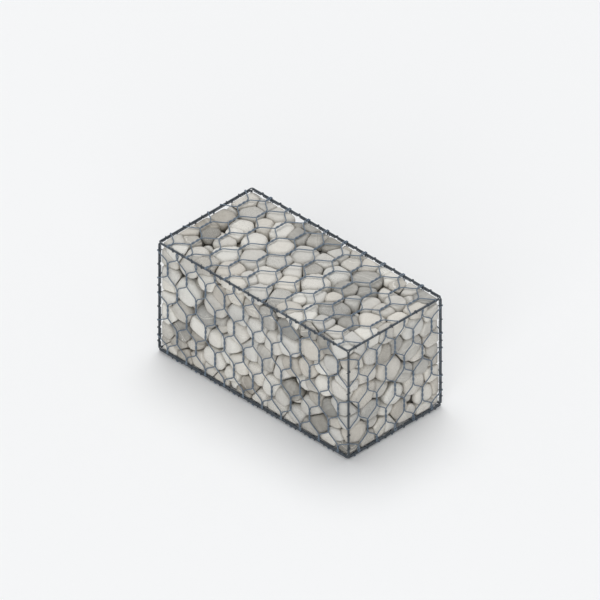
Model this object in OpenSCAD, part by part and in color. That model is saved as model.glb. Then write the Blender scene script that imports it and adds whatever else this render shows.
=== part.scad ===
// Gabion wall unit: a laced box of double-twisted wire mesh, filled with stone.
// The origin is at the middle of the footprint, with X along the box and the ground at z = 0.

/* [Box] */
// Length of the box along X, over the mesh
box_length = 1000; // [600:50:2000]
// Width of the box along Y, over the mesh
box_width = 500; // [400:50:1000]
// Height of the box, over the mesh
box_height = 500; // [300:50:1000]

/* [Mesh] */
// Nominal width of a hexagonal opening, from twist to twist
cell_width = 100; // [80:5:140]
// Nominal height from one row of twists to the next
row_height = 95; // [80:5:130]
// Length of each double-twisted stretch
twist_length = 66; // [30:1:70]
// Diameter of the coated mesh wire
mesh_wire = 4.4; // [2.4:0.1:5]

/* [Edges] */
// Diameter of the coated selvedge wire round each panel
selvedge_wire = 4.9; // [3:0.1:6]
// Diameter of the coated lacing wire
lacing_wire = 3.2; // [2:0.1:4]
// Length of edge that one turn of lacing takes up
turn_length = 14; // [12:1:20]
// Widest spacing of the lacing turns along an edge
turn_spacing = 100; // [60:5:150]
// Room between the lacing and the pair of selvedges inside it
lacing_gap = 0.5; // [0.4:0.1:1.5]
// Room between wires, or wire and stone, that lie against each other
seat_gap = 0.3; // [0.2:0.1:0.5]

/* [Stone fill] */
// Extra radius by which the stones stay back from the laced edges
edge_slack = 8; // [4:1:20]

/* [Hidden] */
MESH_COLOUR = [109, 119, 128] / 255;
EDGE_COLOUR = [63, 70, 77] / 255;
STONE_COLOURS = [[151, 147, 139] / 255, [179, 175, 167] / 255, [205, 201, 193] / 255];

// Two wires twisted together fill a round of twice the wire
twist_wire = 2 * mesh_wire;
mesh_inside = twist_wire + seat_gap;

// Sides of the bars that stand for twists and for single wires
TWIST_SIDES = 6;
WIRE_SIDES = 6;

// Angles of the points on one turn of lacing, and how much of its rise is left to its two ends
TURN_STEP = 60;
TURN_ANGLES = [0, each [TURN_STEP / 2 : TURN_STEP : 360], 360];
TURN_EASE = 0.55;
// Between turns the lacing lies at this angle, on the inner side of the pair
LACING_REST = 65;
// Radius of a turn at its points, so that its straight stretches clear the selvedge inside
lacing_orbit = (selvedge_wire / 2 + lacing_gap + lacing_wire / 2) / cos(TURN_STEP / 2);
// The lacing is a square bar of the round wire's own section area
lacing_half = lacing_wire * sqrt(PI) / 4;
// How sharply a turn moves over from one wire of the pair to the other
TURN_SHARPNESS = 3;

// Depth of the outer selvedge below both faces of its edge, and step to the inner one
edge_depth = max(
    lacing_orbit + lacing_wire / 2 + seat_gap,
    mesh_inside + lacing_wire / 2 - lacing_orbit * sin(LACING_REST)
);
pair_pitch = selvedge_wire + seat_gap;
inner_depth = edge_depth + pair_pitch;
selvedge_reach = selvedge_wire / 2 + seat_gap;

// Depths that the lacing takes up across the pair and along it
lacing_across = edge_depth + lacing_orbit + lacing_wire / 2 + seat_gap;
lacing_along = lacing_across + pair_pitch;

// Panels as [width, height] between the axes of their selvedges
LID = [box_length - 2 * edge_depth, box_width - 2 * edge_depth];
SIDE = [box_length - 2 * edge_depth, box_height - 2 * inner_depth];
END = [box_width - 2 * inner_depth, box_height - 2 * inner_depth];

// Edge rounding of the stones that just clears the lacing, plus the slack
across_bite = lacing_across - mesh_inside;
along_bite = lacing_along - mesh_inside;
fill_round = across_bite + along_bite + sqrt(2 * across_bite * along_bite) + edge_slack;
FILL = [box_length, box_width, box_height] - 2 * mesh_inside * [1, 1, 1];
FILL_LIFTS = ["lower_stone_fill", "middle_stone_fill", "upper_stone_fill"];
lift_height = FILL[2] / len(FILL_LIFTS);

// Panels as name, size, and way from the middle of the box to the middle of the outer face
PANELS = [
    ["front_mesh", SIDE, [0, -box_width / 2, 0]],
    ["back_mesh", SIDE, [0, box_width / 2, 0]],
    ["left_end_mesh", END, [-box_length / 2, 0, 0]],
    ["right_end_mesh", END, [box_length / 2, 0, 0]],
    ["lid_mesh", LID, [0, 0, box_height / 2]],
    ["base_mesh", LID, [0, 0, -box_height / 2]]
];

// Edges as name, axis that the edge runs along, and its side of the box on each axis
EDGES = [
    ["front_top", 0, [0, -1, 1]],
    ["front_bottom", 0, [0, -1, -1]],
    ["back_top", 0, [0, 1, 1]],
    ["back_bottom", 0, [0, 1, -1]],
    ["left_top", 1, [-1, 0, 1]],
    ["left_bottom", 1, [-1, 0, -1]],
    ["right_top", 1, [1, 0, 1]],
    ["right_bottom", 1, [1, 0, -1]],
    ["front_left", 2, [-1, -1, 0]],
    ["front_right", 2, [1, -1, 0]],
    ["back_left", 2, [-1, 1, 0]],
    ["back_right", 2, [1, 1, 0]]
];

// Whole cells and rows that come nearest to the nominal mesh
function cells_of(panel) = max(1, round(panel[0] / cell_width));
function rows_of(panel) = max(1, round(panel[1] / row_height));
function cell_pitch(panel) = panel[0] / cells_of(panel);
function row_pitch(panel) = panel[1] / rows_of(panel);
function row_level(panel, row) = row * row_pitch(panel) - panel[1] / 2;

// Twists of one row: odd rows are shifted by half a cell and have none on the side wires
function row_twists(panel, row) = [
    for (i = [row % 2 : cells_of(panel) - 1])
        (i + (row % 2 == 0 ? 0.5 : 0)) * cell_pitch(panel) - panel[0] / 2
];

// Heights at which single wires come to a side wire, just below and above each odd row
function side_ends(panel) = [
    for (row = [1 : 2 : rows_of(panel)], way = [-1, 1])
        if (way < 0 || row < rows_of(panel)) row_level(panel, row) + way * twist_length / 2
];

// Places along an edge where wires of the two panels come to it
function edge_ends(axis, side) =
    axis == 0 ? concat(
        row_twists(LID, side[1] * side[2] < 0 ? 0 : rows_of(LID)),
        row_twists(SIDE, side[2] > 0 ? rows_of(SIDE) : 0)
    ) :
    axis == 1 ? concat(
        side[2] * side_ends(LID),
        row_twists(END, side[2] > 0 ? rows_of(END) : 0)
    ) :
    concat(side_ends(SIDE), side_ends(END));

function sorted(list) = len(list) < 2 ? list : concat(
    sorted([for (v = list) if (v < list[0]) v]),
    [for (v = list) if (v == list[0]) v],
    sorted([for (v = list) if (v > list[0]) v])
);

// Middles of the turns of lacing: evenly in each opening that is wide enough for one
function turn_places(axis, side) = let (
    half = [box_length, box_width, box_height][axis] / 2 - lacing_along - seat_gap,
    stops = concat([-half], sorted(edge_ends(axis, side)), [half]),
    clear = turn_length / 2 + lacing_wire + twist_wire
) [
    for (i = [0 : len(stops) - 2])
        let (room = stops[i + 1] - stops[i], turns = max(1, round(room / turn_spacing)))
            if (room > 2 * clear)
                for (k = [0 : turns - 1]) stops[i] + room * (k + 0.5) / turns
];

// Way along the edge from the middle of a turn to the point at an angle of it
function turn_rise(angle) = let (k = angle / 180 - 1) turn_length / 2 * k * (1 - TURN_EASE + TURN_EASE * k * k);

// Point of the lacing as [across the pair, along the pair, along the edge], and the way outwards
function lacing_point(turn, along) = [
    lacing_orbit * sin(turn),
    lacing_orbit * cos(turn) + pair_pitch / 2 * max(-1, min(1, TURN_SHARPNESS * cos(turn))),
    along
];
function outwards(turn) = [sin(turn), cos(turn), 0];

function unit(v) = v / norm(v);

// The four corners of the lacing bar at one point of its path
function lacing_ring(point, heading, out) = let (
    flank = unit(cross(heading, out)),
    top = unit(cross(flank, heading))
) [for (c = [[1, 1], [-1, 1], [-1, -1], [1, -1]]) point + lacing_half * (c[0] * flank + c[1] * top)];

// Diameter of the round about a polygon that measures d across its flats
function over_corners(d, sides) = d / cos(180 / sides);

// Straight bar of few sides from one point of a panel to another, with flats facing outwards
module bar(from, to, d, sides) {
    run = to - from;
    translate([from[0], from[1], 0])
        rotate([0, 0, atan2(run[1], run[0])])
            rotate([0, 90, 0])
                rotate([0, 0, 180 / sides])
                    cylinder(h = norm(run), d = over_corners(d, sides), $fn = sides);
}

// Field of hexagonal mesh about the middle of a panel, up to the inner side of its selvedges
module hex_field(panel) {
    half_twist = [0, twist_length / 2];
    half_cell = cell_pitch(panel) / 2;
    intersection() {
        union() {
            for (row = [0 : rows_of(panel)], u = row_twists(panel, row)) {
                middle = [u, row_level(panel, row)];
                bar(middle - half_twist, middle + half_twist, twist_wire, TWIST_SIDES);
            }
            for (row = [0 : 2 : rows_of(panel)], u = row_twists(panel, row), way = [-1, 1], side = [-1, 1])
                if (row + way >= 0 && row + way <= rows_of(panel))
                    bar(
                        [u, row_level(panel, row)] + way * half_twist,
                        [u + side * half_cell, row_level(panel, row + way)] - way * half_twist,
                        mesh_wire, WIRE_SIDES
                    );
        }
        cube([panel[0] - 2 * selvedge_reach, panel[1] - 2 * selvedge_reach, 2 * twist_wire], center = true);
    }
}

// Turn that brings a panel from lying face up to facing a way: upright panels keep their twists upright
function face_turn(out) = out[2] == 0 ? [90, 0, atan2(out[1], out[0]) + 90] : [out[2] > 0 ? 0 : 180, 0, 0];

// One side of the basket, with its twists flush with the outside of the box
module mesh_panel(panel) {
    color(MESH_COLOUR)
        translate([0, 0, box_height / 2] + panel[2])
            rotate(face_turn(panel[2]))
                translate([0, 0, -twist_wire / 2])
                    hex_field(panel[1]);
}

// Places what is modelled as [across the pair, along the pair, along the edge] on one edge
module on_edge(axis, side) {
    middle = [0, 0, box_height / 2] + [for (i = [0 : 2]) side[i] * [box_length, box_width, box_height][i] / 2];
    x = [1, 0, 0];
    y = [0, 1, 0];
    z = [0, 0, 1];
    across = axis == 0 ? -side[1] * y : -side[0] * x;
    along_pair = axis == 2 ? -side[1] * y : -side[2] * z;
    along_edge = [x, y, z][axis];
    multmatrix([for (i = [0 : 2]) [across[i], along_pair[i], along_edge[i], middle[i]]])
        children();
}

// Pair of selvedge wires along one edge, one for each panel that meets there
module selvedge(edge) {
    runs = [
        box_length - 2 * (edge_depth - selvedge_wire / 2),
        box_width - 2 * (edge_depth + selvedge_reach),
        box_height - 2 * (inner_depth + selvedge_reach)
    ];
    color(EDGE_COLOUR)
        on_edge(edge[1], edge[2])
            for (depth = [edge_depth, inner_depth])
                translate([edge_depth, depth, 0])
                    cylinder(h = runs[edge[1]], d = selvedge_wire, center = true, $fn = 32);
}

// Lacing wire of one edge: turns round the pair, with straight runs between them on its inner side
module lacing(edge) {
    half = [box_length, box_width, box_height][edge[1]] / 2 - lacing_along - seat_gap;
    stations = concat(
        [[LACING_REST, -half]],
        [
            for (place = turn_places(edge[1], edge[2]), angle = TURN_ANGLES)
                [LACING_REST + angle, place + turn_rise(angle)]
        ],
        [[LACING_REST, half]]
    );
    path = [for (s = stations) lacing_point(s[0], s[1])];
    last = len(path) - 1;
    points = [
        for (i = [0 : last])
            each lacing_ring(path[i], path[min(i + 1, last)] - path[max(i - 1, 0)], outwards(stations[i][0]))
    ];
    flanks = [
        for (i = [0 : last - 1], k = [0 : 3])
            let (a = 4 * i + k, b = 4 * i + (k + 1) % 4)
                each [[a, b, b + 4], [a, b + 4, a + 4]]
    ];
    ends = [[3, 2, 1, 0], 4 * last * [1, 1, 1, 1] + [0, 1, 2, 3]];
    color(EDGE_COLOUR)
        on_edge(edge[1], edge[2])
            translate([edge_depth, edge_depth + pair_pitch / 2, 0])
                polyhedron(points, concat(flanks, ends));
}

module rounded_plate(size, thick) {
    inner = size - 2 * fill_round * [1, 1];
    linear_extrude(thick, center = true) {
        square([size[0], inner[1]], center = true);
        square([inner[0], size[1]], center = true);
        for (sx = [-1, 1], sy = [-1, 1])
            translate([sx * inner[0], sy * inner[1]] / 2)
                circle(fill_round, $fn = 64);
    }
}

// One lift of the stone fill, rounded where the laced edges hold the stones back
module stone_fill(lift) {
    color(STONE_COLOURS[lift])
        translate([0, 0, box_height / 2])
            intersection() {
                rounded_plate([FILL[0], FILL[1]], FILL[2]);
                rotate([90, 0, 0]) rounded_plate([FILL[0], FILL[2]], FILL[1]);
                rotate([90, 0, 90]) rounded_plate([FILL[1], FILL[2]], FILL[0]);
                translate([0, 0, (lift - 1) * lift_height]) cube([FILL[0], FILL[1], lift_height], center = true);
            }
}

for (panel = PANELS) mesh_panel(panel);
for (edge = EDGES) selvedge(edge);
for (edge = EDGES) lacing(edge);
for (i = [0 : 2]) stone_fill(i);
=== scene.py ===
"""Looks of a gabion wall unit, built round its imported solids.

The unit is a laced box of double-twisted hexagonal wire mesh, filled with rounded stones. The stones are
worked out as rounded cells of a packing, the mesh as pairs of wires that wind round each other, the
selvedges as pairs of wires with bent corners, and the lacing as a wire that turns round each of those
pairs. All lengths are in metres.
"""

from __future__ import annotations

import logging
import math
from dataclasses import dataclass
from dataclasses import field
from enum import Enum
from typing import Any

import bpy
import numpy as np
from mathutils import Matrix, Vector
from numpy.typing import NDArray

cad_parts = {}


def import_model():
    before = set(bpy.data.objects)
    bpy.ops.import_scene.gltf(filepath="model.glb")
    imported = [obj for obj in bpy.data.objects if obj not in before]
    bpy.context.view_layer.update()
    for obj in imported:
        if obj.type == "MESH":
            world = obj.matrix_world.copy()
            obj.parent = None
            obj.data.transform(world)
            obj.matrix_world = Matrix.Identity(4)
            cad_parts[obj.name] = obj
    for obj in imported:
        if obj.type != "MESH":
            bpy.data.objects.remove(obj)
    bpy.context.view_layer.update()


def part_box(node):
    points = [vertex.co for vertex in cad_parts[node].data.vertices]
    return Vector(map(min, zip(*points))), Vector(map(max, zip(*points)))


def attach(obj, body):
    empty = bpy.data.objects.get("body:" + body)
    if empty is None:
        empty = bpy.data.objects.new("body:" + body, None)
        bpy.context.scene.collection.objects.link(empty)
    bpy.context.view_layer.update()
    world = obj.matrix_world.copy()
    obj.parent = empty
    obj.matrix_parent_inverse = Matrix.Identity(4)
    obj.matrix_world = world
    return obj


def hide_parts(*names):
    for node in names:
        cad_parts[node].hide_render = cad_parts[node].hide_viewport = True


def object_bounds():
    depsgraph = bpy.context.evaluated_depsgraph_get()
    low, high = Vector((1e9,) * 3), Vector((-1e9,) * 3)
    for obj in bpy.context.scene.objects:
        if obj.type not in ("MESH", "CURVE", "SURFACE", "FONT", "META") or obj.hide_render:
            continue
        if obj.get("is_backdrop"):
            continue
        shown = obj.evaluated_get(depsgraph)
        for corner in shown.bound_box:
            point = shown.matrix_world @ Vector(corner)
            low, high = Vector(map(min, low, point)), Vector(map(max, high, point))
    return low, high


LOG = logging.getLogger("gabion")

Array = NDArray[np.float64]
Indices = NDArray[np.int64]
Colour = tuple[float, float, float, float]

BODY = "root"
NO_TRIS: Indices = np.zeros((0, 3), dtype=np.int64)

# A step that counts as nothing, the digits that tell points of a ball apart, and the share of a wire's
# radius by which its blunt tip stands out.
SLIGHT = 1e-6
MERGE_DIGITS = 6
TIP_SHARE = 0.5


class Slot(Enum):
    """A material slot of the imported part."""

    MESH_WIRE = "mesh_wire"
    EDGE_WIRE = "edge_wire"
    STONE = "stone"


def linear(red: int, green: int, blue: int) -> Colour:
    """Turns a screen colour into a linear one by the standard screen curve.

    Args:
        red: Red, from 0 to 255.
        green: Green, from 0 to 255.
        blue: Blue, from 0 to 255.

    Returns:
        The linear colour with an alpha of one.
    """
    parts = np.array([red, green, blue]) / 255.0
    low = parts / 12.92
    high = ((parts + 0.055) / 1.055) ** 2.4
    return (*np.where(parts <= 0.04045, low, high).tolist(), 1.0)


def unit(vectors: Array) -> Array:
    """Scales vectors along the last axis to a length of one."""
    return vectors / np.linalg.norm(vectors, axis=-1, keepdims=True)


def smooth_step(values: Array) -> Array:
    """Eases from 0 to 1: three times the square less twice the cube, held beyond both ends."""
    held = np.clip(values, 0.0, 1.0)
    return held * held * (3.0 - 2.0 * held)


@dataclass
class Shell:
    """A closed surface, as points, faces of four and three corners, and named values at the points."""

    points: Array
    quads: Indices
    tris: Indices
    values: dict[str, Array] = field(default_factory=dict)

    @staticmethod
    def joined(shells: list[Shell]) -> Shell:
        """Puts several shells into one.

        Args:
            shells: Shells that carry the same named values.

        Returns:
            One shell with all their points and faces.
        """
        counts = [len(shell.points) for shell in shells]
        starts = np.concatenate([[0], np.cumsum(counts)[:-1]]).astype(np.int64)
        return Shell(
            np.concatenate([shell.points for shell in shells]),
            np.concatenate([shell.quads + start for shell, start in zip(shells, starts)]),
            np.concatenate([shell.tris + start for shell, start in zip(shells, starts)]),
            {name: np.concatenate([shell.values[name] for shell in shells]) for name in shells[0].values},
        )

    def to_object(self, name: str, material: bpy.types.Material) -> bpy.types.Object:
        """Makes the shell a mesh object at the origin, shaded smooth.

        Args:
            name: Name of the piece.
            material: Its material.

        Returns:
            The new object.
        """
        mesh = bpy.data.meshes.new(name)
        corners = np.concatenate([self.quads.ravel(), self.tris.ravel()])
        sizes = np.concatenate([np.full(len(self.quads), 4), np.full(len(self.tris), 3)])
        starts = np.concatenate([[0], np.cumsum(sizes)[:-1]])
        mesh.vertices.add(len(self.points))
        mesh.vertices.foreach_set("co", self.points.astype(np.float32).ravel())
        mesh.loops.add(len(corners))
        mesh.loops.foreach_set("vertex_index", corners.astype(np.int32))
        mesh.polygons.add(len(sizes))
        mesh.polygons.foreach_set("loop_start", starts.astype(np.int32))
        mesh.update(calc_edges=True)
        for title, data in self.values.items():
            form = "FLOAT" if data.ndim == 1 else "FLOAT_VECTOR"
            key = "value" if data.ndim == 1 else "vector"
            layer = mesh.attributes.new(title, form, "POINT")
            layer.data.foreach_set(key, data.astype(np.float32).ravel())
        mesh.shade_smooth()
        mesh.materials.append(material)
        piece = bpy.data.objects.new(name, mesh)
        bpy.context.scene.collection.objects.link(piece)
        return piece

    def stand_for(
        self, node: str, name: str, slot: Slot, material: bpy.types.Material
    ) -> bpy.types.Object:
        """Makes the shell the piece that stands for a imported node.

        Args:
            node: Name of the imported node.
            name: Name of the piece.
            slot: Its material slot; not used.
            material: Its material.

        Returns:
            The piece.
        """
        piece = self.to_object(name, material)
        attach(piece, BODY)
        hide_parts(node)
        return piece


def round_wire(path: Array, lean: Array, radius: float, sides: int) -> Shell:
    """Carries a circle along a path: each ring lies square to it, and a blunt point closes each end.

    Args:
        path: Points of the wire's middle, one a row.
        lean: Direction, or one a point, that the first point of each ring leans to.
        radius: Half the wire's thickness.
        sides: Points in a ring.

    Returns:
        The closed wire.
    """
    heading = unit(np.gradient(path, axis=0))
    flank = unit(np.cross(heading, lean))
    top = np.cross(flank, heading)
    turn = np.arange(sides) * math.tau / sides
    leaning = np.cos(turn)[None, :, None] * top[:, None, :]
    spokes = leaning + np.sin(turn)[None, :, None] * flank[:, None, :]
    rings = path[:, None, :] + radius * spokes
    reach = TIP_SHARE * radius
    tips = np.stack([path[0] - reach * heading[0], path[-1] + reach * heading[-1]])
    grid = np.arange(len(path) * sides).reshape(len(path), sides)
    after = np.roll(grid, -1, axis=1)
    quads = np.stack([grid[:-1], after[:-1], after[1:], grid[1:]], axis=-1).reshape(-1, 4)
    first = np.full(sides, grid.size)
    start_cap = np.stack([first, after[0], grid[0]], axis=-1)
    end_cap = np.stack([first + 1, grid[-1], after[-1]], axis=-1)
    points = np.concatenate([rings.reshape(-1, 3), tips])
    return Shell(points, quads, np.concatenate([start_cap, end_cap]))


def cube_ball(cuts: int) -> tuple[Array, Indices]:
    """Directions over a ball on the grids of a cube's six faces, spread by the tangent of equal angles.

    Args:
        cuts: Faces along each side of the cube.

    Returns:
        Unit directions, one a row, and the faces between them, turned outwards.
    """
    steps = np.tan(np.linspace(-math.pi / 4, math.pi / 4, cuts + 1))
    across, up = np.meshgrid(steps, steps, indexing="ij")
    ones = np.ones_like(across)
    sides = [
        np.stack(order, axis=-1)
        for order in (
            (ones, across, up),
            (-ones, up, across),
            (up, ones, across),
            (across, -ones, up),
            (across, up, ones),
            (up, across, -ones),
        )
    ]
    points = unit(np.stack(sides)).reshape(-1, 3)
    grid = np.arange(len(points)).reshape(len(sides), cuts + 1, cuts + 1)
    faces = np.stack([grid[:, :-1, :-1], grid[:, 1:, :-1], grid[:, 1:, 1:], grid[:, :-1, 1:]], axis=-1)
    keys, merged = np.unique(np.round(points, MERGE_DIGITS), axis=0, return_inverse=True)
    return unit(keys), merged.ravel()[faces.reshape(-1, 4)]


class Signal:
    """A shader socket that takes part in Python sums; each sum adds its Math node."""

    def __init__(self, graph: Graph, socket: bpy.types.NodeSocket) -> None:
        """Keeps the graph and the socket."""
        self.graph = graph
        self.socket = socket

    def _sum(self, operation: str, first: Any, second: Any) -> Signal:
        """Adds one Math node and gives its result."""
        return self.graph.signal("ShaderNodeMath", {"operation": operation}, {0: first, 1: second})

    def __add__(self, other: Any) -> Signal:
        """This plus another."""
        return self._sum("ADD", self, other)

    def __radd__(self, other: Any) -> Signal:
        """Another plus this."""
        return self._sum("ADD", other, self)

    def __sub__(self, other: Any) -> Signal:
        """This less another."""
        return self._sum("SUBTRACT", self, other)

    def __rsub__(self, other: Any) -> Signal:
        """Another less this."""
        return self._sum("SUBTRACT", other, self)

    def __mul__(self, other: Any) -> Signal:
        """This times another."""
        return self._sum("MULTIPLY", self, other)

    def __rmul__(self, other: Any) -> Signal:
        """Another times this."""
        return self._sum("MULTIPLY", other, self)

    def between(self, low: float, high: float) -> Signal:
        """Eases this from 0 at the low value to 1 at the high one.

        Args:
            low: Value that gives 0.
            high: Value that gives 1.

        Returns:
            The eased signal.
        """
        settings = {"interpolation_type": "SMOOTHSTEP"}
        return self.graph.signal("ShaderNodeMapRange", settings, {0: self, 1: low, 2: high})


@dataclass(frozen=True)
class Clouds:
    """Cloudy noise: clouds to a metre, finer layers and their strength, and the height of its relief."""

    scale: float
    detail: float
    roughness: float = 0.5
    relief: float = 0.0


class Graph:
    """The nodes of one new material or world."""

    def __init__(self, owner: bpy.types.Material | bpy.types.World, output: str) -> None:
        """Empties the owner's nodes and adds an output of the given type."""
        owner.use_nodes = True
        self.owner = owner
        self.tree = owner.node_tree
        self.tree.nodes.clear()
        self.output = self.tree.nodes.new(output)

    @classmethod
    def of_material(cls, name: str) -> Graph:
        """A graph for a new material of the name."""
        return cls(bpy.data.materials.new(name), "ShaderNodeOutputMaterial")

    @classmethod
    def of_world(cls, name: str) -> Graph:
        """A graph for a new world of the name."""
        return cls(bpy.data.worlds.new(name), "ShaderNodeOutputWorld")

    def node(self, kind: str, settings: dict[str, Any], sockets: dict[Any, Any]) -> bpy.types.Node:
        """Adds a node.

        Args:
            kind: The node's type.
            settings: Its own settings, or "stops" for a ramp's places and colours; they are set first.
            sockets: Values or signals for its inputs, by name or number.

        Returns:
            The node.
        """
        made = self.tree.nodes.new(kind)
        for title, value in settings.items():
            if title == "stops":
                self._set_stops(made.color_ramp, value)
            else:
                setattr(made, title, value)
        for place, value in sockets.items():
            if isinstance(value, Signal):
                self.tree.links.new(value.socket, made.inputs[place])
            else:
                made.inputs[place].default_value = value
        return made

    def signal(
        self, kind: str, settings: dict[str, Any], sockets: dict[Any, Any], result: Any = 0
    ) -> Signal:
        """Adds a node and gives one of its results.

        Args:
            kind: The node's type.
            settings: Its own settings.
            sockets: Values or signals for its inputs.
            result: Name or number of the result.

        Returns:
            The result as a signal.
        """
        return Signal(self, self.node(kind, settings, sockets).outputs[result])

    @staticmethod
    def _set_stops(ramp: bpy.types.ColorRamp, stops: list[tuple[float, Colour]]) -> None:
        """Gives a ramp its places and colours."""
        while len(ramp.elements) < len(stops):
            ramp.elements.new(1.0)
        for element, (place, colour) in zip(ramp.elements, stops):
            element.position = place
            element.color = colour

    def noise(self, place: Signal, clouds: Clouds) -> Signal:
        """Cloudy noise from 0 to 1, about one half.

        Args:
            place: Where to read it.
            clouds: Its clouds.

        Returns:
            The noise.
        """
        sockets = {
            "Vector": place,
            "Scale": clouds.scale,
            "Detail": clouds.detail,
            "Roughness": clouds.roughness,
        }
        return self.signal("ShaderNodeTexNoise", {}, sockets)

    def mixed(self, share: Any, first: Any, second: Any) -> Signal:
        """Mixes two colours.

        Args:
            share: Share of the second.
            first: First colour.
            second: Second colour.

        Returns:
            The mixed colour.
        """
        return self.signal("ShaderNodeMix", {"data_type": "RGBA"}, {0: share, 6: first, 7: second}, 2)

    def bumped(self, heights: list[tuple[Signal, Clouds]]) -> Signal:
        """Chains bump nodes.

        Args:
            heights: Noise signals with the clouds that they come from.

        Returns:
            The bent normal.
        """
        normal: Signal | None = None
        for height, clouds in heights:
            sockets: dict[Any, Any] = {"Strength": 1.0, "Distance": clouds.relief, "Height": height}
            if normal is not None:
                sockets["Normal"] = normal
            normal = self.signal("ShaderNodeBump", {}, sockets)
        return normal

    def surface(self, sockets: dict[Any, Any]) -> bpy.types.Material:
        """Finishes the material with one surface shader.

        Args:
            sockets: Values or signals for the shader.

        Returns:
            The material.
        """
        return self.shown(self.signal("ShaderNodeBsdfPrincipled", {}, sockets))

    def shown(self, shader: Signal) -> bpy.types.Material | bpy.types.World:
        """Links a shader to the output and gives the finished material or world."""
        self.tree.links.new(shader.socket, self.output.inputs["Surface"])
        return self.owner

    def attribute(self, name: str, result: str = "Fac") -> Signal:
        """Reads a named value of the mesh's points."""
        return self.signal("ShaderNodeAttribute", {"attribute_name": name}, {}, result)


@dataclass(frozen=True)
class StoneFinish:
    """Matt river stone of one pale grey family: each stone has its own tone, warmth and kind of rock."""

    tones: tuple[tuple[float, Colour], ...] = (
        (0.0, linear(143, 140, 133)),
        (0.25, linear(176, 173, 166)),
        (0.5, linear(203, 200, 193)),
        (0.75, linear(219, 216, 209)),
        (1.0, linear(231, 229, 222)),
    )
    warm: Colour = linear(198, 186, 168)
    cool: Colour = linear(168, 172, 174)
    # Painted shade, partly dirt: the darker colour that stones take on deeper inside the fill.
    shade_and_dirt: Colour = linear(150, 145, 137)
    vein: Colour = linear(231, 228, 221)
    fleck: Colour = linear(112, 108, 102)
    roughness: float = 0.8
    patches: Clouds = Clouds(24.0, 4.0, 0.55, relief=0.005)
    mottle: Clouds = Clouds(85.0, 4.0, 0.6, relief=0.0026)
    grains: Clouds = Clouds(420.0, 2.0, 0.6, relief=0.0010)
    pits: Clouds = Clouds(900.0, 1.0, relief=0.0004)
    strata: Clouds = Clouds(120.0, 3.0, 0.6)
    vein_bends: Clouds = Clouds(16.0, 3.0)
    vein_cracks: Clouds = Clouds(60.0, 2.0)
    patch_tone: float = 0.38
    mottle_tone: float = 0.34
    warm_share: float = 0.22
    cool_share: float = 0.26
    shade_depths: tuple[float, float] = (0.014, 0.075)
    least_shade_and_dirt: float = 0.25
    patchy_shade_and_dirt: float = 0.45
    grain_roughness: float = 0.18
    mottle_roughness: float = 0.14
    strata_wave: float = 0.012
    dark_grains: tuple[float, float] = (0.56, 0.70)
    pale_grains: tuple[float, float] = (0.42, 0.30)
    vein_bend: float = 0.045
    vein_crack: float = 0.02
    wide_vein: tuple[float, float] = (0.0022, 0.0004)
    thin_vein: tuple[float, float] = (0.00125, 0.00025)
    thin_vein_offset: float = 0.01175

    def material(self) -> bpy.types.Material:
        """Makes the material; it reads the values that StoneFill gives to the points of the stones."""
        graph = Graph.of_material("river_stone")
        here = graph.signal("ShaderNodeTexCoord", {}, {}, "Object")
        place = graph.signal(
            "ShaderNodeVectorMath", {"operation": "ADD"}, {0: here, 1: graph.attribute("grain", "Vector")}
        )
        warmth = graph.attribute("warmth")
        patches = graph.noise(place, self.patches)
        mottle = graph.noise(place, self.mottle)
        grains = graph.noise(place, self.grains)
        pits = graph.noise(place, self.pits)

        clouded = (patches - 0.5) * self.patch_tone + (mottle - 0.5) * self.mottle_tone
        shade = graph.attribute("tone") + clouded + self._bands(graph, patches)
        colour = graph.signal("ShaderNodeValToRGB", {"stops": list(self.tones)}, {0: shade}, "Color")
        colour = graph.mixed(warmth.between(0.5, 1.0) * self.warm_share, colour, self.warm)
        colour = graph.mixed(warmth.between(0.5, 0.0) * self.cool_share, colour, self.cool)
        colour = self._flecked(graph, colour, grains)
        colour = self._veined(graph, colour, place)
        # Painted shade: stones darken with depth inside the fill, where less light reaches, in patches
        # like dirt.
        hollow_shade = graph.attribute("depth").between(*self.shade_depths)
        colour = graph.mixed(hollow_shade * (self.least_shade_and_dirt + self.patchy_shade_and_dirt * patches), colour, self.shade_and_dirt)

        normal = graph.bumped(
            [(patches, self.patches), (mottle, self.mottle), (grains, self.grains), (pits, self.pits)]
        )
        uneven = (grains - 0.5) * self.grain_roughness + (mottle - 0.5) * self.mottle_roughness
        return graph.surface(
            {"Base Color": colour, "Roughness": self.roughness + uneven, "Normal": normal}
        )

    def _bands(self, graph: Graph, patches: Signal) -> Signal:
        """Layers of paler and darker rock across a stone's own axis, wavy with the patches.

        Args:
            graph: The material's graph.
            patches: Slow noise that bends the layers.

        Returns:
            What the layers add to the tone.
        """
        along = graph.attribute("layer") + (patches - 0.5) * self.strata_wave
        across = graph.signal("ShaderNodeCombineXYZ", {}, {"X": along, "Y": graph.attribute("warmth")})
        return (graph.noise(across, self.strata) - 0.5) * graph.attribute("banding")

    def _flecked(self, graph: Graph, colour: Signal, grains: Signal) -> Signal:
        """Dark and pale grains, strong on speckled stones and faint on the rest.

        Args:
            graph: The material's graph.
            colour: Colour so far.
            grains: Fine noise.

        Returns:
            The colour with its grains.
        """
        share = graph.attribute("speckle")
        colour = graph.mixed(grains.between(*self.dark_grains) * share, colour, self.fleck)
        return graph.mixed(grains.between(*self.pale_grains) * share, colour, self.vein)

    def _veined(self, graph: Graph, colour: Signal, place: Signal) -> Signal:
        """A wide and a thin pale vein, which cross the stone square to its own axis and bend a little.

        Args:
            graph: The material's graph.
            colour: Colour so far.
            place: Where to read the noise that bends them.

        Returns:
            The colour with its veins.
        """
        bend = graph.noise(place, self.vein_bends) - 0.5
        crack = graph.noise(place, self.vein_cracks) - 0.5
        across = graph.attribute("layer") + bend * self.vein_bend
        beside = across + crack * self.vein_crack - self.thin_vein_offset
        veins = self._stripe(across, *self.wide_vein) + self._stripe(beside, *self.thin_vein)
        return graph.mixed(veins * graph.attribute("veining"), colour, self.vein)

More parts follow.
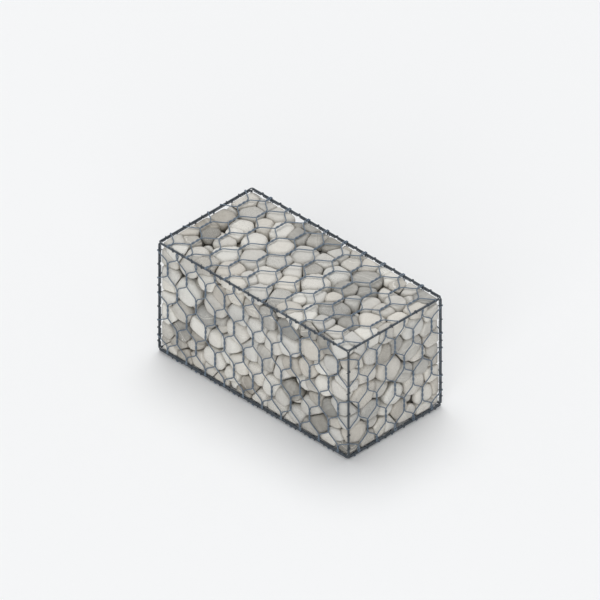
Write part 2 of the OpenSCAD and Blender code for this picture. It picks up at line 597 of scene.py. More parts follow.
    @staticmethod
    def _stripe(across: Signal, rim: float, core: float) -> Signal:
        """A stripe about 0: whole within the core on both sides, gone beyond the rim."""
        return across.between(-rim, -core) * across.between(rim, core)


@dataclass(frozen=True)
class WireFinish:
    """Satin plastic coat on wire, with a chalky bloom, fine dust on top and rubbed spots."""

    name: str
    coat: Colour
    bloom: Colour
    rubbed: Colour
    roughness: float = 0.5
    clouds: Clouds = Clouds(24.0, 4.0, 0.6)
    specks: Clouds = Clouds(700.0, 2.0, relief=0.0001)
    scuffs: Clouds = Clouds(90.0, 3.0, 0.7, relief=0.0003)
    chalk_range: tuple[float, float] = (0.40, 0.72)
    chalk_share: float = 0.6
    dust_slope: tuple[float, float] = (0.2, 1.0)
    dust_range: tuple[float, float] = (0.45, 0.68)
    dust_share: float = 0.5
    worn_range: tuple[float, float] = (0.62, 0.72)
    worn_share: float = 0.75
    chalk_roughness: float = 0.18
    worn_roughness: float = 0.1

    def material(self) -> bpy.types.Material:
        """Makes the material on Object coordinates."""
        graph = Graph.of_material(self.name)
        here = graph.signal("ShaderNodeTexCoord", {}, {}, "Object")
        facing = graph.signal("ShaderNodeNewGeometry", {}, {}, "Normal")
        upward = graph.signal("ShaderNodeSeparateXYZ", {}, {0: facing}, "Z")
        cloud = graph.noise(here, self.clouds)
        speck = graph.noise(here, self.specks)
        scuff = graph.noise(here, self.scuffs)

        colour = graph.mixed(cloud.between(*self.chalk_range) * self.chalk_share, self.coat, self.bloom)
        dust = upward.between(*self.dust_slope) * speck.between(*self.dust_range) * self.dust_share
        colour = graph.mixed(dust, colour, self.bloom)
        worn = scuff.between(*self.worn_range) * self.worn_share
        colour = graph.mixed(worn, colour, self.rubbed)

        rough = self.roughness + cloud * self.chalk_roughness + worn * self.worn_roughness
        normal = graph.bumped([(scuff, self.scuffs), (speck, self.specks)])
        return graph.surface({"Base Color": colour, "Roughness": rough, "Normal": normal})


class Side(Enum):
    """A side of the basket: its node, and the ways along its rows, up its twists and outwards."""

    FRONT = ("front_mesh", (1, 0, 0), (0, 0, 1), (0, -1, 0))
    BACK = ("back_mesh", (-1, 0, 0), (0, 0, 1), (0, 1, 0))
    LEFT_END = ("left_end_mesh", (0, -1, 0), (0, 0, 1), (-1, 0, 0))
    RIGHT_END = ("right_end_mesh", (0, 1, 0), (0, 0, 1), (1, 0, 0))
    LID = ("lid_mesh", (1, 0, 0), (0, 1, 0), (0, 0, 1))
    BASE = ("base_mesh", (1, 0, 0), (0, -1, 0), (0, 0, -1))

    @property
    def node(self) -> str:
        """Name of the side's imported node."""
        return self.value[0]

    @property
    def axes(self) -> Array:
        """The three ways, one a row."""
        return np.array(self.value[1:], dtype=float)


class Edge(Enum):
    """An edge of the basket: its name, the axis that it runs along, and its side on each axis."""

    FRONT_TOP = ("front_top", 0, (0, -1, 1))
    FRONT_BOTTOM = ("front_bottom", 0, (0, -1, -1))
    BACK_TOP = ("back_top", 0, (0, 1, 1))
    BACK_BOTTOM = ("back_bottom", 0, (0, 1, -1))
    LEFT_TOP = ("left_top", 1, (-1, 0, 1))
    LEFT_BOTTOM = ("left_bottom", 1, (-1, 0, -1))
    RIGHT_TOP = ("right_top", 1, (1, 0, 1))
    RIGHT_BOTTOM = ("right_bottom", 1, (1, 0, -1))
    FRONT_LEFT = ("front_left", 2, (-1, -1, 0))
    FRONT_RIGHT = ("front_right", 2, (1, -1, 0))
    BACK_LEFT = ("back_left", 2, (-1, 1, 0))
    BACK_RIGHT = ("back_right", 2, (1, 1, 0))

    @property
    def title(self) -> str:
        """Name of the edge."""
        return self.value[0]

    @property
    def axis(self) -> int:
        """Axis that the edge runs along."""
        return self.value[1]

    @property
    def side(self) -> Array:
        """Side of the box on each axis, 0 along the edge itself."""
        return np.array(self.value[2], dtype=float)

    @property
    def axes(self) -> Array:
        """The ways inwards across the pair of wires, along the pair, and along the edge, one a row."""
        basis = np.eye(3)
        inward = -self.side[:, None] * basis
        across = 1 if self.axis == 0 else 0
        pair = 1 if self.axis == 2 else 2
        return np.stack([inward[across], inward[pair], basis[self.axis]])


@dataclass(frozen=True)
class Basket:
    """Sizes of the wire basket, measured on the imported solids."""

    low: Array
    high: Array
    mesh_wire: float
    selvedge_wire: float
    edge_depth: float
    pair_pitch: float

    @classmethod
    def measured(cls) -> Basket:
        """Reads the sizes from the boxes of the nodes."""
        low, high = (np.array(corner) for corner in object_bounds())
        mesh_low, mesh_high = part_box("front_mesh")
        wire_low, wire_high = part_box("front_top_selvedge")
        selvedge_wire = wire_high.y - wire_low.y
        return cls(
            low=low,
            high=high,
            mesh_wire=(mesh_high.y - mesh_low.y) / 2,
            selvedge_wire=selvedge_wire,
            edge_depth=(wire_high.y + wire_low.y) / 2 - low[1],
            pair_pitch=wire_high.z - wire_low.z - selvedge_wire,
        )

    @property
    def size(self) -> Array:
        """Length, width and height."""
        return self.high - self.low

    @property
    def middle(self) -> Array:
        """Middle of the box."""
        return (self.high + self.low) / 2

    def corner_line(self, side: Array) -> Array:
        """Middle of the sharp edge of the box that lies on the given side of each axis."""
        return self.middle + side * self.size / 2


@dataclass
class MeshPanel:
    """One side of double-twisted hexagonal mesh, in its own ways along rows, up twists and outwards."""

    side: Side
    basket: Basket
    cell_width: float = 0.100
    row_height: float = 0.095
    twist_length: float = 0.066
    half_turns: int = 3
    twist_steps: int = 18
    slant_steps: int = 8
    ring_sides: int = 8
    grip_length: float = 0.024
    bend_steps: int = 5
    coat_clearance: float = 0.0001
    smoothing: tuple[float, ...] = (1.0, 2.0, 3.0, 2.0, 1.0)
    fewest_points: int = 3

    def __post_init__(self) -> None:
        """Works out whole cells and rows between the wires round the panel."""
        along, up, out = np.abs(self.side.axes)
        outer = self.basket.edge_depth
        inner = outer + self.basket.pair_pitch
        self.outer_sides = out[0] == 0
        self.outer_rows = out[2] > 0
        self.width = float(along @ self.basket.size) - 2 * (outer if self.outer_sides else inner)
        self.height = float(up @ self.basket.size) - 2 * (outer if self.outer_rows else inner)
        self.cells = max(1, round(self.width / self.cell_width))
        self.rows = max(1, round(self.height / self.row_height))
        self.cell_pitch = self.width / self.cells
        self.row_pitch = self.height / self.rows

    def level(self, row: float) -> float:
        """Height of a row of twists above the panel's middle."""
        return row * self.row_pitch - self.height / 2

    def row_twists(self, row: int) -> Array:
        """Places of the twists of a row along it; odd rows are shifted by half a cell."""
        odd = row % 2
        return (np.arange(odd, self.cells) + 0.5 * (1 - odd)) * self.cell_pitch - self.width / 2

    def side_ends(self) -> Array:
        """Heights where single wires come to a side wire, below and above each odd row."""
        rows = np.arange(1, self.rows + 1, 2)
        ends = self.level(rows[:, None]) + np.array([-0.5, 0.5]) * self.twist_length
        return ends[np.abs(ends) < self.height / 2]

    def _heights(self) -> Array:
        """Heights of the points of a wire: evenly up each half twist and each slant."""
        half = self.twist_length / 2 / self.row_pitch
        lower = np.linspace(0.0, half, self.twist_steps // 2, endpoint=False)
        slant = np.linspace(half, 1.0 - half, self.slant_steps, endpoint=False)
        upper = np.linspace(1.0 - half, 1.0, self.twist_steps // 2, endpoint=False)
        one = np.concatenate([lower, slant, upper])
        steps = (np.arange(self.rows)[:, None] + one).ravel()
        return np.append(steps, float(self.rows))

    def _line(self, start: float, way: int) -> Array:
        """Middle of one wire that climbs the panel, moving half a cell sideways on each slant.

        In a twist it circles the twist's own line by half turns, opposite to its partner.

        Args:
            start: Place of its line on the lowest row.
            way: 1 if it moves along the rows, -1 if against them.

        Returns:
            Its places along the rows, heights and places outwards, one point a row.
        """
        steps = self._heights()
        row = np.floor(steps + SLIGHT)
        part = steps - row
        half = self.twist_length / 2 / self.row_pitch
        climb = np.clip((part - half) / (1.0 - 2.0 * half), 0.0, 1.0)
        line = (row + climb) * self.cell_pitch / 2
        weights = np.array(self.smoothing) / sum(self.smoothing)
        padded = np.pad(line, len(weights) // 2, mode="edge")
        line = way * (start + np.convolve(padded, weights, mode="valid"))
        along_twist = np.where(part <= half, part + half, part - 1.0 + half) / (2.0 * half)
        angle = (math.pi if way > 0 else 0.0) + self.half_turns * math.pi * along_twist
        twisted = (part <= half) | (part >= 1.0 - half)
        radius = self.basket.mesh_wire / 2
        aside = np.where(twisted, np.cos(angle), way * (1.0 - 2.0 * climb)) * radius
        outward = np.where(twisted, np.sin(angle), 0.0) * radius
        return np.stack([line + aside, self.level(steps), outward], axis=-1)

    def _tied(self, points: Array, way: int) -> Array:
        """Leads the last stretch of a wire over the wire round the panel, beside its partner.

        Where the panel's edge wire is the outer one of its pair, the end bends round it a quarter turn.

        Args:
            points: Places along the rows, heights and places outwards, one point a row.
            way: 1 if the wire moves along the rows, -1 if against them.

        Returns:
            The points of the tied wire.
        """
        end = points[-1]
        on_row = abs(abs(end[1]) - self.height / 2) < self.coat_clearance
        axis = 1 if on_row else 0
        toward = np.sign(end[axis])
        hold = self.basket.selvedge_wire / 2 + self.basket.mesh_wire / 2
        sunk = self.basket.edge_depth - self.basket.mesh_wire
        over = end.copy()
        over[axis] = toward * (self.height if on_row else self.width) / 2
        over[0] += way * toward * self.basket.mesh_wire / 2 if on_row else 0.0
        over[2] = hold - sunk
        share = 1.0 - smooth_step(np.abs(points[:, 1] - end[1]) / self.grip_length)
        led = points + share[:, None] * (over - end)
        led[:, 2] = np.minimum(led[:, 2], self.basket.mesh_wire / 2)
        if not (self.outer_rows if on_row else self.outer_sides):
            return led
        turn = np.linspace(0.0, math.pi / 2, self.bend_steps + 1)[1:]
        bend = np.repeat(over[None], len(turn), axis=0)
        bend[:, axis] += toward * hold * np.sin(turn)
        bend[:, 2] = hold * np.cos(turn) - sunk
        return np.concatenate([led, bend])

    def wires(self) -> list[Array]:
        """Paths of all wires of the panel, in place."""
        half = self.twist_length / 2
        paths = []
        for strand in range(-(self.rows + 1) // 2, self.cells):
            start = (strand + 0.5) * self.cell_pitch - self.width / 2
            first_row = -(2 * strand + 1)
            last_row = 2 * (self.cells - strand) - 1
            low = self.level(first_row) + half if first_row > 0 else self.level(0)
            high = self.level(last_row) - half if last_row <= self.rows else self.level(self.rows)
            for way in (1, -1):
                points = self._line(start, way)
                points = points[(points[:, 1] >= low - SLIGHT) & (points[:, 1] <= high + SLIGHT)]
                if len(points) >= self.fewest_points:
                    upper_tied = self._tied(points, way)
                    paths.append(self._placed(self._tied(upper_tied[::-1], way)))
        return paths

    def _placed(self, points: Array) -> Array:
        """Brings points of the panel to their place on the basket."""
        out = self.side.axes[2]
        middle = self.basket.middle + out * (np.abs(out) @ self.basket.size / 2 - self.basket.mesh_wire)
        return middle + points @ self.side.axes

    def build(self, material: bpy.types.Material) -> bpy.types.Object:
        """Makes the panel's piece, which stands for its node.

        Args:
            material: Finish of the mesh wire.

        Returns:
            The piece.
        """
        lean = self.side.axes[2]
        radius = self.basket.mesh_wire / 2 - self.coat_clearance
        shells = [round_wire(path, lean, radius, self.ring_sides) for path in self.wires()]
        node = self.side.node
        return Shell.joined(shells).stand_for(node, f"{node}_wires", Slot.MESH_WIRE, material)


@dataclass
class SelvedgePair:
    """The two selvedge wires along one edge, each bent by half a corner at both ends.

    The outer wire belongs to the panel that closes over the other one, and its corners turn across the
    pair. The inner wire's corners turn along the pair. The next edge's wires carry on round the corner.
    """

    edge: Edge
    basket: Basket
    panels: dict[Side, MeshPanel]
    bend_radius: float = 0.009
    bend_steps: int = 6
    run_steps: int = 4
    ring_sides: int = 12

    def _reaches(self) -> tuple[float, float]:
        """Half lengths of the outer and the inner wire along the edge, up to their corners."""
        lid = self.panels[Side.LID]
        front = self.panels[Side.FRONT]
        end = self.panels[Side.RIGHT_END]
        lengths = ((lid.width, front.width), (lid.height, end.width), (front.height, end.height))
        outer, inner = lengths[self.edge.axis]
        return outer / 2, inner / 2

    def _bent(self, reach: float) -> tuple[Array, Array]:
        """A straight run with an eighth of a turn at both ends.

        Args:
            reach: Half the length up to the corners.

        Returns:
            Places towards the inside of the corners, and places along the edge.
        """
        turn = np.linspace(0.0, math.pi / 4, self.bend_steps + 1)
        aside = self.bend_radius * (1.0 - np.cos(turn))
        beyond = reach - self.bend_radius + self.bend_radius * np.sin(turn)
        run = np.linspace(-beyond[0], beyond[0], self.run_steps + 2)[1:-1]
        toward = np.concatenate([aside[::-1], np.zeros(self.run_steps), aside])
        return toward, np.concatenate([-beyond[::-1], run, beyond])

    def build(self, material: bpy.types.Material) -> bpy.types.Object:
        """Makes the edge's pair of wires, which stands for its node.

        Args:
            material: Finish of the edge wire.

        Returns:
            The piece.
        """
        corner = self.basket.corner_line(self.edge.side)
        radius = self.basket.selvedge_wire / 2
        shells = []
        for inner, reach in enumerate(self._reaches()):
            toward, along = self._bent(reach)
            local = np.full((len(along), 3), self.basket.edge_depth)
            local[:, 2] = along
            local[:, 1] += inner * self.basket.pair_pitch
            local[:, inner] += toward
            lean = self.edge.axes[1 - inner]
            shells.append(round_wire(corner + local @ self.edge.axes, lean, radius, self.ring_sides))
        node = f"{self.edge.title}_selvedge"
        return Shell.joined(shells).stand_for(node, f"{node}_wires", Slot.EDGE_WIRE, material)


@dataclass
class EdgeLacing:
    """Lacing wire of one edge: tight turns round the pair of edge wires, with straight runs between."""

    edge: Edge
    basket: Basket
    panels: dict[Side, MeshPanel]
    wire: float = 0.0032
    turn_length: float = 0.014
    turn_spacing: float = 0.100
    rest_angle: float = math.radians(65.0)
    ease: float = 0.55
    sharpness: float = 3.0
    turn_steps: int = 20
    run_steps: int = 3
    ring_sides: int = 8
    clearance: float = 0.0003

    def _mesh_ends(self) -> Array:
        """Places along the edge where wires of the two panels come to it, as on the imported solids."""
        side = self.edge.side
        top = side[2] > 0
        lid = self.panels[Side.LID]
        front = self.panels[Side.FRONT]
        end = self.panels[Side.RIGHT_END]
        if self.edge.axis == 0:
            lid_row = 0 if side[1] * side[2] < 0 else lid.rows
            return np.concatenate([lid.row_twists(lid_row), front.row_twists(front.rows if top else 0)])
        if self.edge.axis == 1:
            return np.concatenate([side[2] * lid.side_ends(), end.row_twists(end.rows if top else 0)])
        return np.concatenate([front.side_ends(), end.side_ends()])

    def turn_places(self, reach: float) -> Array:
        """Middles of the turns: evenly in each opening between mesh wires that has room for one.

        Args:
            reach: Half the length that the lacing takes up.

        Returns:
            Places along the edge.
        """
        stops = np.concatenate([[-reach], np.sort(self._mesh_ends()), [reach]])
        clear = self.turn_length / 2 + self.wire + 2 * self.basket.mesh_wire
        places = []
        for start, room in zip(stops[:-1], np.diff(stops)):
            count = max(1, round(room / self.turn_spacing))
            if room > 2 * clear:
                places.append(start + room * (np.arange(count) + 0.5) / count)
        return np.concatenate(places)

    def _stations(self, reach: float) -> tuple[Array, Array]:
        """Angles round the pair and places along the edge of the path's points.

        Args:
            reach: Half the length that the lacing takes up.

        Returns:
            The angles and the places.
        """
        part = np.linspace(-1.0, 1.0, self.turn_steps + 1)
        rise = self.turn_length / 2 * part * (1.0 - self.ease + self.ease * part**2)
        turns = self.turn_places(reach)[:, None] + rise
        starts = np.append(-reach, turns[:, -1])
        ends = np.append(turns[:, 0], reach)
        share = np.linspace(0.0, 1.0, self.run_steps + 2)[1:-1]
        runs = starts[:, None] + (ends - starts)[:, None] * share
        blocks = np.concatenate([runs[:-1], turns], axis=1)
        turned = np.concatenate([np.zeros(self.run_steps), math.pi * (part + 1.0)])
        angles = np.tile(turned, len(turns))
        angles = np.concatenate([[0.0], angles, np.zeros(self.run_steps + 1)])
        places = np.concatenate([[-reach], blocks.ravel(), runs[-1], [reach]])
        return self.rest_angle + angles, places

    def build(self, material: bpy.types.Material) -> bpy.types.Object:
        """Makes the edge's lacing piece, which stands for its node.

        A point lies on a circle round the pair's middle that is pulled apart by the step of the pair.

        Args:
            material: Finish of the edge wire.

        Returns:
            The piece.
        """
        node = f"{self.edge.title}_lacing"
        low, high = (np.array(corner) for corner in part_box(node))
        angles, places = self._stations((high - low)[self.edge.axis] / 2)
        depth = self.basket.edge_depth
        half_pitch = self.basket.pair_pitch / 2
        orbit = self.basket.selvedge_wire / 2 + self.clearance + self.wire / 2
        pull = half_pitch * np.clip(self.sharpness * np.cos(angles), -1.0, 1.0)
        local = np.stack([orbit * np.sin(angles), orbit * np.cos(angles) + pull, places], axis=-1)
        local += np.array([depth, depth + half_pitch, 0.0])
        lean = np.stack([np.sin(angles), np.cos(angles), np.zeros_like(angles)], axis=-1)
        path = self.basket.corner_line(self.edge.side) + local @ self.edge.axes
        shell = round_wire(path, lean @ self.edge.axes, self.wire / 2, self.ring_sides)
        return shell.stand_for(node, f"{node}_wire", Slot.EDGE_WIRE, material)


class Lift(Enum):
    """A lift of the stone fill."""

    LOWER = "lower"
    MIDDLE = "middle"
    UPPER = "upper"

    @property
    def node(self) -> str:
        """Name of the lift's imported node."""
        return f"{self.value}_stone_fill"


@dataclass(frozen=True)
class RockTraits:
    """Share of the stones that a rock makes up, and the strength of its bands, speckles and veins."""

    share: float
    banding: float
    speckle: float
    veining: float


class Rock(Enum):
    """A kind of rock."""

    PLAIN = RockTraits(0.40, 0.12, 0.25, 0.0)
    BANDED = RockTraits(0.22, 0.75, 0.20, 0.0)
    SPECKLED = RockTraits(0.24, 0.06, 0.70, 0.0)
    VEINED = RockTraits(0.14, 0.20, 0.20, 0.75)


@dataclass
class StoneFill:
    """Rounded stones packed into the basket: softened cells of a packing with stones of many sizes."""

    basket: Basket
    count: int = 640
    seed: int = 7
    smallest: float = 0.020
    largest: float = 0.060
    edge_share: float = 0.36
    edge_reach: float = 0.10
    edge_crowding: float = 3.0
    edge_squareness: float = 0.95
    flatness: float = 1.22
    samples: int = 60000
    settling: int = 4
    least_share: float = 0.2
    neighbours: int = 28
    cuts: int = 9
    hidden_cuts: int = 4
    hidden_depth: float = 0.13
    contact_gap: float = 0.0012
    hold_back: float = 0.008
    lacing_room: float = 0.0038
    sharpness: tuple[float, float] = (8.0, 15.0)
    corner_reach: tuple[float, float] = (1.40, 1.85)
    corner_filling: float = 0.5
    corner_planes: int = 6
    least_distance: float = 0.004
    lumps: int = 6
    lump_waves: float = 2.6
    lump_height: float = 0.030
    tone_spread: tuple[float, float] = (1.6, 1.2)
    grain_offset: float = 9.0
    layer_lean: tuple[float, float, float] = (0.5, 0.5, 1.0)

    def __post_init__(self) -> None:
        """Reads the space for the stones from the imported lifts."""
        self.rng = np.random.default_rng(self.seed)
        self.low = np.array(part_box(Lift.LOWER.node)[0])
        self.high = np.array(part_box(Lift.UPPER.node)[1])
        self.lift_height = (self.high - self.low)[2] / len(Lift)
        self.stretch = np.array([1.0, 1.0, self.flatness])

    def _depth(self, places: Array) -> Array:
        """Distance of each place from the nearest wall of the space on each axis."""
        return np.minimum(places - self.low, self.high - places)

    def _grading(self, places: Array) -> Array:
        """Relative size of stones: the edge share right at an edge of the box, easing to whole inside.

        Args:
            places: Points in the space.

        Returns:
            Sizes as shares of the whole.
        """
        depths = np.sort(self._depth(places), axis=1)
        from_edge = np.hypot(depths[:, 0], depths[:, 1])
        return self.edge_share + (1.0 - self.edge_share) * smooth_step(from_edge / self.edge_reach)

    def _settled(self) -> tuple[Array, Array, Array]:
        """Seeds of the cells, their radii, and the middles of the cells.

        Each sample point of the space belongs to the seed with the least square distance less square
        radius, and each seed moves to the middle of its samples a few times. Heights count more than
        widths, so that most stones lie flat.

        Returns:
            Seeds, radii and middles.
        """
        points = self.rng.uniform(self.low, self.high, (self.samples, 3)) * self.stretch
        places = self.rng.uniform(self.low, self.high, (self.samples, 3))
        grading = self._grading(places)
        chances = grading**-self.edge_crowding
        chosen = self.rng.choice(self.samples, self.count, replace=False, p=chances / chances.sum())
        seeds = places[chosen] * self.stretch
        radii = self.rng.uniform(self.smallest, self.largest, self.count) * grading[chosen]
        for _ in range(self.settling + 1):
            reach = (seeds**2).sum(1) - radii**2 - 2.0 * points @ seeds.T
            owner = reach.argmin(1)
            held = np.bincount(owner, minlength=len(seeds))
            sums = [np.bincount(owner, points[:, axis], len(seeds)) for axis in range(3)]
            middles = np.stack(sums, axis=-1) / np.maximum(held, 1)[:, None]
            full = held > self.least_share * held.mean()
            previous = seeds[full]
            seeds = middles[full]
            radii = radii[full]
        return previous / self.stretch, radii, seeds / self.stretch

    def _cell_planes(self, seeds: Array, radii: Array, middles: Array) -> tuple[Array, Array]:
        """Planes between each stone and its nearest ones.

        Args:
            seeds: Seeds of the cells.
            radii: Their radii.
            middles: Middles of the cells.

        Returns:
            Outward directions, and distances from the middles.
        """
        gaps = (seeds[None, :, :] - seeds[:, None, :]) * self.stretch
        spans = np.linalg.norm(gaps, axis=-1)
        near = np.argsort(spans, axis=1)[:, 1 : self.neighbours + 1]
        ways = np.take_along_axis(gaps, near[..., None], axis=1)
        spans = np.take_along_axis(spans, near, axis=1)
        place = (spans**2 + radii[:, None] ** 2 - radii[near] ** 2) / 2.0
        ways = ways * self.stretch
        steep = np.linalg.norm(ways, axis=-1)
        ways = ways / steep[..., None]
        shift = np.einsum("nkc,nc->nk", ways, middles - seeds)
        return ways, place / steep - shift - self.contact_gap / 2

    def _wall_planes(self, middles: Array) -> tuple[Array, Array]:
        """Planes of the six walls and of the twelve laced edges, which hold the stones back.

        Args:
            middles: Middles of the stones.

        Returns:
            Outward directions, and distances from the middles.
        """
        faces = np.concatenate([np.eye(3), -np.eye(3)])
        depth = self.rng.uniform(0.0, self.hold_back, (len(middles), 6)) ** 2 / self.hold_back
        limits = np.concatenate([self.high, -self.low])
        to_faces = limits - middles @ faces.T - depth
        corners = np.stack([edge.side for edge in Edge])
        ways = unit(corners)
        inner_wire = (2 * self.basket.edge_depth + self.basket.pair_pitch) / math.sqrt(2.0)
        laced = inner_wire + self.basket.selvedge_wire / 2 + self.lacing_room
        limits = (self.basket.corner_line(corners) * ways).sum(1) - laced
        to_edges = limits - middles @ ways.T
        both = np.concatenate([faces, ways])
        both = np.broadcast_to(both, (len(middles), *both.shape))
        return both, np.concatenate([to_faces, to_edges], axis=1)

    def _radii_along(self, ways: Array, ball: Array, distances: Array, square: Array) -> Array:
        """Distance from each stone's middle to its surface in each direction of the ball.

        The inverse distance is a high power mean of the inverse distances to all planes, which rounds the
        cell's edges, and to a ball that cuts off long corners. Slow waves make the surface uneven.

        Args:
            ways: Outward directions of the planes.
            ball: Directions.
            distances: Distances of the planes.
            square: How much sharper than others each stone's edges are.

        Returns:
            Distances, one row a stone.
        """
        count = len(distances)
        power = (self.rng.uniform(*self.sharpness, count) * square)[:, None]
        facing = np.maximum(np.einsum("vc,nkc->nvk", ball, ways), 0.0)
        inverse = facing / np.maximum(distances, self.least_distance)[:, None, :]
        nearest = np.sort(distances, axis=1)[:, : self.corner_planes]
        cap = nearest.mean(1) * self.rng.uniform(*self.corner_reach, count) * square**self.corner_filling
        total = (inverse ** power[..., None]).sum(2) + (1.0 / cap[:, None]) ** power
        radius = total ** (-1.0 / power)
        waves = self.rng.normal(0.0, self.lump_waves, (count, self.lumps, 3))
        phase = self.rng.uniform(0.0, math.tau, (count, self.lumps))
        lumps = np.sin(np.einsum("vc,nmc->nvm", ball, waves) + phase[:, None, :]).mean(2)
        return radius * (1.0 - self.lump_height * (1.0 - lumps))

    def _surfaces(self, seeds: Array, radii: Array, middles: Array) -> list[tuple[Array, Indices]]:
        """Points and faces of each stone; those deep inside have fewer.

        Args:
            seeds: Seeds of the cells.
            radii: Their radii.
            middles: Middles of the cells.

        Returns:
            Points and faces, stone by stone.
        """
        cell_ways, cell_distances = self._cell_planes(seeds, radii, middles)
        wall_ways, wall_distances = self._wall_planes(middles)
        ways = np.concatenate([cell_ways, wall_ways], axis=1)
        distances = np.concatenate([cell_distances, wall_distances], axis=1)
        square = self._grading(middles) ** -self.edge_squareness
        hidden = self._depth(middles).min(1) > self.hidden_depth
        surfaces: dict[int, tuple[Array, Indices]] = {}
        for cuts, chosen in ((self.cuts, ~hidden), (self.hidden_cuts, hidden)):
            ball, faces = cube_ball(cuts)
            group = np.flatnonzero(chosen)
            reach = self._radii_along(ways[group], ball, distances[group], square[group])
            for number, distance in zip(group, reach):
                surfaces[number] = (middles[number] + distance[:, None] * ball, faces)
        return [surfaces[number] for number in range(len(middles))]

    def stones(self) -> list[tuple[Array, Shell]]:
        """All stones with their middles, each with its own tone, warmth, grain and kind of rock."""
        seeds, radii, middles = self._settled()
        surfaces = self._surfaces(seeds, radii, middles)
        count = len(middles)
        kinds = self.rng.choice(len(Rock), count, p=[rock.value.share for rock in Rock])
        own = {
            "tone": self.rng.beta(*self.tone_spread, count),
            "warmth": self.rng.uniform(0.0, 1.0, count),
            "grain": self.rng.uniform(-self.grain_offset, self.grain_offset, (count, 3)),
            "banding": np.array([rock.value.banding for rock in Rock])[kinds],
            "speckle": np.array([rock.value.speckle for rock in Rock])[kinds],
            "veining": np.array([rock.value.veining for rock in Rock])[kinds],
        }
        axes = unit(self.rng.normal(0.0, 1.0, (count, 3)) * np.array(self.layer_lean))
        made = []
        for number, (points, faces) in enumerate(surfaces):
            one = slice(number, number + 1)
            values = {title: np.repeat(data[one], len(points), 0) for title, data in own.items()}
            # Depth inside the fill, which the stone material turns into painted shade.
            values["depth"] = self._depth(points).min(1)
            values["layer"] = (points - middles[number]) @ axes[number]
            made.append((middles[number], Shell(points, faces, NO_TRIS, values)))
        return made

    def build(self, material: bpy.types.Material) -> list[bpy.types.Object]:
        """Makes one piece for each lift, which stands for its node.

        Args:
            material: Finish of the stones.

        Returns:
            The three pieces.
        """
        lifts: dict[Lift, list[Shell]] = {lift: [] for lift in Lift}
        for middle, shell in self.stones():
            number = int((middle[2] - self.low[2]) // self.lift_height)
            lifts[list(Lift)[min(max(number, 0), len(Lift) - 1)]].append(shell)
        return [
            Shell.joined(shells).stand_for(lift.node, f"{lift.value}_stones", Slot.STONE, material)
            for lift, shells in lifts.items()
        ]


@dataclass(frozen=True)
class SoftLamp:
    """A wide far light: its strength, the angle it fills, and the way from the box to it."""

    name: str
    strength: float
    spread: float
    way: tuple[float, float, float]

    def build(self) -> None:
        """Adds the lamp to the scene."""
        data = bpy.data.lights.new(self.name, "SUN")
        data.energy = self.strength
        data.angle = self.spread
        lamp = bpy.data.objects.new(self.name, data)
        lamp.rotation_mode = "QUATERNION"
        lamp.rotation_quaternion = Vector(self.way).to_track_quat("Z", "Y")
        bpy.context.scene.collection.objects.link(lamp)


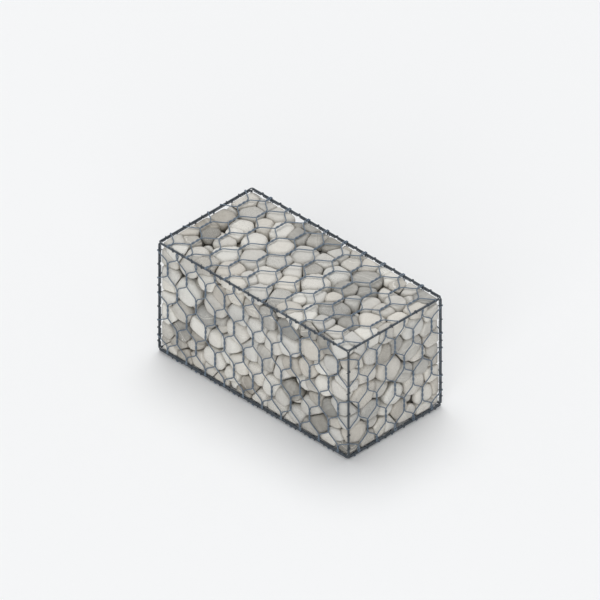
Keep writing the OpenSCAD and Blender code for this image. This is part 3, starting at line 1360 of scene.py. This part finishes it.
@dataclass
class Studio:
    """Pale floor and backdrop, soft light, and the camera of the drawing's isometric view."""

    basket: Basket
    pale: Colour = linear(244, 245, 246)
    picture_size: int = 600
    picture_middle: tuple[float, float] = (300.0, 323.0)
    picture_width: float = 282.4
    floor_half: float = 30.0
    floor_roughness: float = 0.9
    sky_strength: float = 0.42
    lamps: tuple[SoftLamp, ...] = (
        SoftLamp("overhead", 1.52, math.radians(44.0), (-0.28, 0.26, 1.0)),
        SoftLamp("fill", 1.25, math.radians(50.0), (0.89, -1.22, 0.56)),
    )
    camera_distance: float = 6.0

    def _floor(self) -> None:
        """Lays the floor as one large square under the box."""
        graph = Graph.of_material("studio_floor")
        sockets = {"Base Color": self.pale, "Roughness": self.floor_roughness, "Specular IOR Level": 0.0}
        material = graph.surface(sockets)
        corners = np.array([[-1, -1, 0], [1, -1, 0], [1, 1, 0], [-1, 1, 0]]) * self.floor_half
        shell = Shell(corners, np.array([[0, 1, 2, 3]]), NO_TRIS)
        shell.to_object("studio_floor", material)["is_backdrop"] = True

    def _light(self) -> None:
        """Sets the lamps and an even sky, which camera, gloss and glass see as the pale backdrop."""
        graph = Graph.of_world("studio_sky")
        rays = graph.node("ShaderNodeLightPath", {}, {})
        camera, glossy, through = (
            Signal(graph, rays.outputs[title])
            for title in ("Is Camera Ray", "Is Glossy Ray", "Is Transmission Ray")
        )
        white = (1.0, 1.0, 1.0, 1.0)
        sky = graph.signal("ShaderNodeBackground", {}, {"Color": white, "Strength": self.sky_strength})
        backdrop = graph.signal("ShaderNodeBackground", {}, {"Color": self.pale, "Strength": 1.0})
        seen = camera + glossy + through
        mix = graph.signal("ShaderNodeMixShader", {}, {0: seen, 1: sky, 2: backdrop})
        bpy.context.scene.world = graph.shown(mix)
        for lamp in self.lamps:
            lamp.build()

    def _camera(self) -> None:
        """Aims a parallel camera along the box's diagonal, with the box at its place in the picture."""
        inset = 2 * self.basket.edge_depth
        length, width, _ = self.basket.size - inset
        scale = (length + width) / math.sqrt(2.0) / self.picture_width
        back = Vector((1.0, -1.0, 1.0)).normalized()
        turn = back.to_track_quat("Z", "Y")
        right = turn @ Vector((1.0, 0.0, 0.0))
        up = turn @ Vector((0.0, 1.0, 0.0))
        half = self.picture_size / 2
        aside = (self.picture_middle[0] - half) * scale
        below = (self.picture_middle[1] - half) * scale
        data = bpy.data.cameras.new("isometric")
        data.type = "ORTHO"
        data.ortho_scale = self.picture_size * scale
        camera = bpy.data.objects.new("isometric", data)
        camera.rotation_mode = "QUATERNION"
        camera.rotation_quaternion = turn
        aim = Vector(self.basket.middle) - right * aside + up * below
        camera.location = aim + back * self.camera_distance
        bpy.context.scene.collection.objects.link(camera)
        bpy.context.scene.camera = camera

    def build(self) -> None:
        """Sets up floor, light and camera."""
        bpy.context.scene.view_settings.view_transform = "Standard"
        self._floor()
        self._light()
        self._camera()


def main() -> None:
    """Builds the looks of the gabion wall unit in order."""
    logging.basicConfig(level=logging.INFO)
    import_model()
    basket = Basket.measured()
    Studio(basket).build()

    mesh_coat = WireFinish(
        "mesh_coat", coat=linear(94, 108, 123), bloom=linear(124, 135, 146), rubbed=linear(78, 89, 101)
    )
    edge_coat = WireFinish(
        "edge_coat", coat=linear(63, 70, 77), bloom=linear(92, 99, 106), rubbed=linear(48, 54, 60)
    )
    mesh_material = mesh_coat.material()
    edge_material = edge_coat.material()
    panels = {side: MeshPanel(side, basket) for side in Side}
    pieces = [panel.build(mesh_material) for panel in panels.values()]
    for edge in Edge:
        pieces.append(SelvedgePair(edge, basket, panels).build(edge_material))
        pieces.append(EdgeLacing(edge, basket, panels).build(edge_material))
    pieces += StoneFill(basket).build(StoneFinish().material())
    for piece in pieces:
        LOG.info("%s: %d faces", piece.name, len(piece.data.polygons))


if __name__ == "__main__":
    main()
